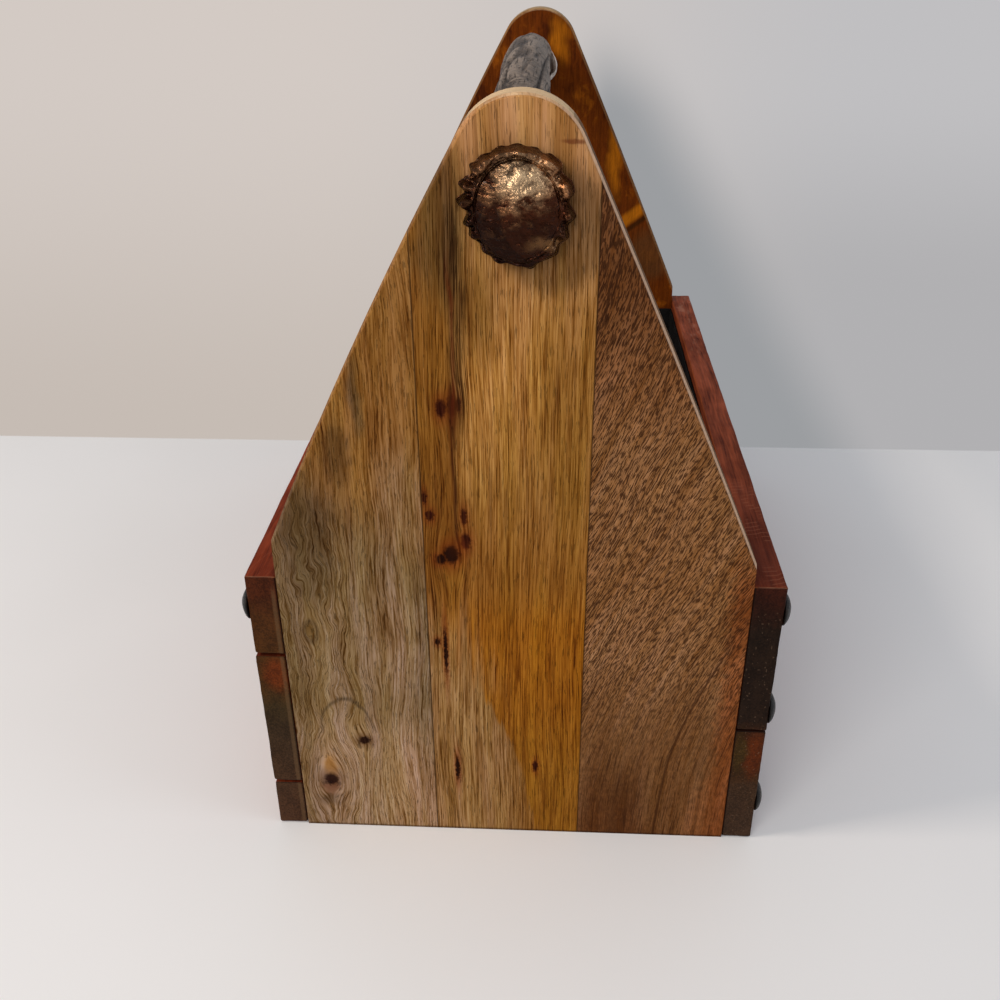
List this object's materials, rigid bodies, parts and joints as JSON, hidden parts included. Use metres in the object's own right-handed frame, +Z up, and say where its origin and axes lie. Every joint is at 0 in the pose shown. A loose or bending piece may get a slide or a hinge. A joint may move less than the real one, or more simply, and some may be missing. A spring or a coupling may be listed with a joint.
{
  "type": "tool tote with drawer",
  "caption": "Open wooden tool tote with tall sloped end panels, an antler carrying handle and one full-length drawer under the bin.",
  "frame": {"origin": "on the floor, under the middle of the whole tote's box, knob, nails and burr caps included", "axes": "+X along the tote, to the right of someone facing the drawer; -Y is the drawer side; +Z is up"},
  "size_m": [0.425, 0.2706, 0.353],
  "materials": {
    "right_panel_grey_board": "grey-brown mango wood, satin, with swirling grain and two small knots",
    "right_panel_gold_board": "golden mango wood, satin, with dark streaks and red-brown knots",
    "right_panel_brown_board": "brown mango wood, satin, with diagonal flecks",
    "left_panel_grey_board": "orange-brown stained mango wood, satin",
    "left_panel_gold_board": "orange-brown stained mango wood, satin",
    "left_panel_brown_board": "orange-brown stained mango wood, satin",
    "red_stained_wood": "mahogany-red stained wood with dark end grain, satin",
    "plain_wood": "unstained inner wood, matt",
    "black_felt": "black felt",
    "antler_beam": "weathered grey antler, ridged, matt; pale at the sawn ends",
    "antler_burr": "dark brown polished antler burr, pearled",
    "black_iron": "blackened iron, slightly glossy",
    "steel": "plain steel"
  },
  "bodies": {
    "carcass": {"back_board_lower": "red_stained_wood", "back_board_upper": "red_stained_wood", "base_board": "plain_wood", "bin_floor": "plain_wood", "burr_cap_left": "antler_burr", "burr_cap_right": "antler_burr", "dome_nails_front": "black_iron", "dome_nails_rear": "black_iron", "front_bottom_rail": "red_stained_wood", "front_top_rail": "red_stained_wood", "handle_beam": "antler_beam", "handle_stud_left": "steel", "handle_stud_right": "steel", "left_end_board_front": "left_panel_grey_board", "left_end_board_middle": "left_panel_gold_board", "left_end_board_rear": "left_panel_brown_board", "lining_back": "black_felt", "lining_floor": "black_felt", "lining_front": "black_felt", "lining_left": "black_felt", "lining_right": "black_felt", "right_end_board_front": "right_panel_grey_board", "right_end_board_middle": "right_panel_gold_board", "right_end_board_rear": "right_panel_brown_board"},
    "drawer": {"drawer_back": "plain_wood", "drawer_bottom": "plain_wood", "drawer_front": "red_stained_wood", "drawer_knob": "black_iron", "drawer_side_left": "plain_wood", "drawer_side_right": "plain_wood", "knob_rose": "black_iron", "knob_screw": "steel"}
  },
  "joints": [
    {"name": "drawer_slide", "type": "slide", "parent": "carcass", "child": "drawer", "axis": [0, -1, 0], "range_m": [0, 0.15]}
  ]
}
